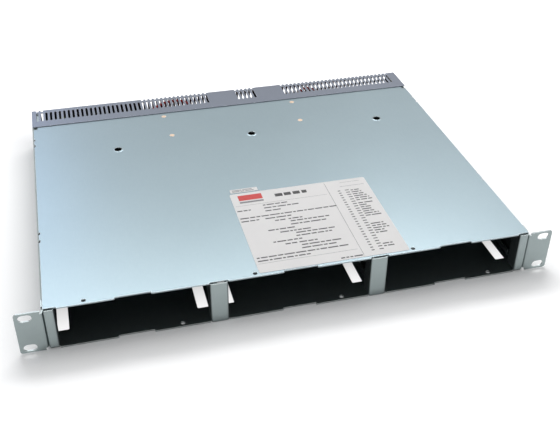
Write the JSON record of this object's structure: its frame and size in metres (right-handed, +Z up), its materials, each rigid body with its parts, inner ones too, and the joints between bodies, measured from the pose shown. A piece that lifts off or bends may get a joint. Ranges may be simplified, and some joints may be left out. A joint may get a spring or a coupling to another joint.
{
  "type": "rack power shelf",
  "caption": "Low rack shelf of folded sheet steel with open bays for slide-in power modules, slotted ears and a vented rear cover over mains inlets and DC output terminals.",
  "frame": {"origin": "middle of the footprint's bounding box, on the underside of the tray", "axes": "+X across the rack towards the right-hand ear seen from the front, +Y from the front bays towards the rear cover, +Z up"},
  "size_m": [0.4826, 0.3572, 0.0444],
  "materials": {
    "sheet_steel": "bare pre-galvanised sheet, satin",
    "cover_steel": "zinc-plated sheet, satin, slightly purple-grey",
    "plated_steel": "bright zinc plate",
    "black_plastic": "matt moulded",
    "plated_brass": "tin-plated, bright",
    "copper": "bare copper, satin",
    "brass_rivet": "yellow passivated, dull",
    "circuit_board": "solder-masked glass-fibre board, semi-gloss",
    "wire_brown": "soft insulation",
    "wire_blue": "soft insulation",
    "wire_green_yellow": "soft insulation, green with a yellow stripe",
    "wire_red": "soft insulation",
    "label_paper": "white label stock, matt"
  },
  "bodies": {
    "root": {"base_tray": "sheet_steel", "top_plate": "sheet_steel", "rear_cover": "cover_steel", "post_left": "sheet_steel", "post_right": "sheet_steel", "divider_left": "sheet_steel", "divider_right": "sheet_steel", "partition_left": "sheet_steel", "partition_right": "sheet_steel", "side_guide_left": "sheet_steel", "side_guide_right": "sheet_steel", "bulkhead": "cover_steel", "module_connector_1": "black_plastic", "module_connector_2": "black_plastic", "module_connector_3": "black_plastic", "module_contacts": "plated_brass", "backplane_board_1": "circuit_board", "backplane_board_2": "circuit_board", "backplane_board_3": "circuit_board", "board_spacers": "plated_brass", "bus_bar_positive": "copper", "bus_bar_negative": "copper", "bus_posts": "copper", "bus_stands": "black_plastic", "terminal_block_1": "black_plastic", "terminal_block_2": "black_plastic", "terminal_block_3": "black_plastic", "output_links_positive": "copper", "output_links_negative": "copper", "terminal_screws": "plated_steel", "ac_inlet_1": "black_plastic", "ac_inlet_2": "black_plastic", "ac_inlet_3": "black_plastic", "inlet_blades": "plated_brass", "signal_connector_shell": "plated_steel", "signal_connector_insert": "black_plastic", "signal_jack_posts": "plated_steel", "signal_board": "circuit_board", "line_wires": "wire_brown", "neutral_wires": "wire_blue", "earth_wires": "wire_green_yellow", "sense_wires": "wire_red", "earth_stud": "plated_steel", "top_rivets": "brass_rivet", "side_screws": "plated_steel", "rating_label": "label_paper", "strip_label": "label_paper"}
  },
  "joints": []
}
